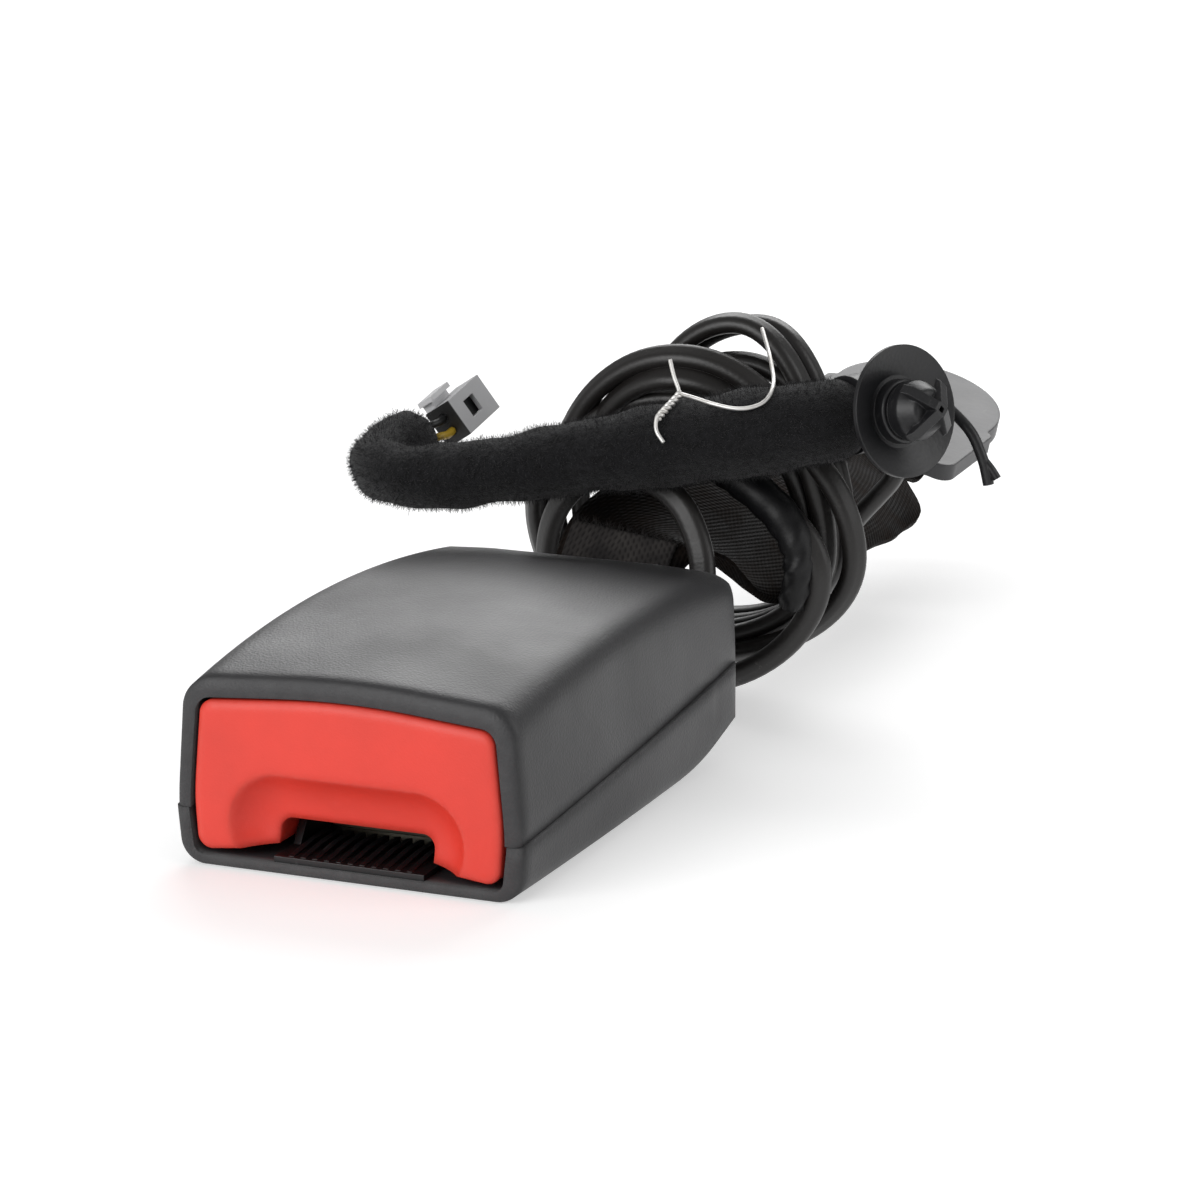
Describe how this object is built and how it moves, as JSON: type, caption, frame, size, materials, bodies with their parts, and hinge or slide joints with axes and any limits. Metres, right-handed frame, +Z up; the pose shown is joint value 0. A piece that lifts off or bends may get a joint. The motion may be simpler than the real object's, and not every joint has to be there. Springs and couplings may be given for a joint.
{
  "type": "seat belt buckle anchor",
  "caption": "Seat belt buckle with a red release button, on a short webbing stalk to a steel anchor plate, with a coiled switch lead, loom, clip and small connector.",
  "frame": {"origin": "on the plane the buckle lies on, under the middle of the whole unit", "axes": "+X right when the button faces the viewer, +Y from the button towards the anchor plate, +Z up"},
  "size_m": [0.1142, 0.2616, 0.0697],
  "materials": {
    "housing_plastic": "fine grained",
    "button_plastic": "satin",
    "guide_plastic": "satin",
    "switch_plastic": "satin",
    "plated_steel": "zinc plated",
    "spring_steel": "bright",
    "grommet_rubber": "matt",
    "webbing": "woven",
    "plate_paint": "satin",
    "lead_jacket": "satin",
    "sleeve_plastic": "satin",
    "fleece": "fuzzy",
    "clip_plastic": "satin",
    "connector_plastic": "satin",
    "tinned_brass": "tinned",
    "wire_yellow": "satin",
    "wire_black": "satin",
    "tie_steel": "bright"
  },
  "bodies": {
    "buckle": {"upper_cover": "housing_plastic", "lower_cover": "housing_plastic", "button_springs": "spring_steel", "tongue_guide": "guide_plastic", "steel_frame": "plated_steel", "pivot_pin": "plated_steel", "webbing_bar": "plated_steel", "ejector_spring": "spring_steel", "pawl_spring": "spring_steel", "switch_housing": "switch_plastic", "switch_pigtail": "lead_jacket", "lead_grommet": "grommet_rubber", "webbing_stalk": "webbing", "lead_front": "lead_jacket", "lead_coil": "lead_jacket", "lead_tail": "lead_jacket", "lead_sleeve": "sleeve_plastic", "fleece_loom": "fleece", "clip_band": "clip_plastic", "clip_dish": "clip_plastic", "clip_tail": "clip_plastic", "connector_housing": "connector_plastic", "connector_rail": "connector_plastic", "connector_terminals": "tinned_brass", "core_wire_yellow": "wire_yellow", "core_wire_black": "wire_black", "tie_wire": "tie_steel"},
    "button": {"push_button": "button_plastic"},
    "pawl": {"latch_pawl": "plated_steel"},
    "bar": {"lock_bar": "plated_steel"},
    "ejector": {"ejector": "guide_plastic"},
    "plate": {"anchor_plate": "plate_paint"}
  },
  "joints": [
    {"name": "button_press", "type": "slide", "parent": "buckle", "child": "button", "axis": [0, 1, 0], "range_m": [0, 0.006], "stiffness_N_per_m": 1200, "springref_m": -0.003, "deforming": ["button_springs"]},
    {"name": "ejector_slide", "type": "slide", "parent": "buckle", "child": "ejector", "axis": [0, 1, 0], "range_m": [0, 0.011], "stiffness_N_per_m": 300, "springref_m": -0.004, "deforming": ["ejector_spring"]},
    {"name": "pawl_turn", "type": "hinge", "parent": "buckle", "child": "pawl", "pos_m": [0, -0.05676, 0.014], "axis": [1, 0, 0], "range_deg": [0, 8], "deforming": ["pawl_spring"]},
    {"name": "bar_slide", "type": "slide", "parent": "buckle", "child": "bar", "axis": [0, -1, 0], "range_m": [0, 0.006]},
    {"name": "plate_swing", "type": "hinge", "parent": "buckle", "child": "plate", "pos_m": [0.0083, 0.09374, 0.027], "axis": [0.9623, -0.0842, -0.2588], "range_deg": [-20, 20]}
  ],
  "couplings": [
    {"joint": "pawl_turn", "follows": "ejector_slide", "rad_per_m": 12.692},
    {"joint": "bar_slide", "follows": "ejector_slide", "ratio": 0.5454}
  ]
}
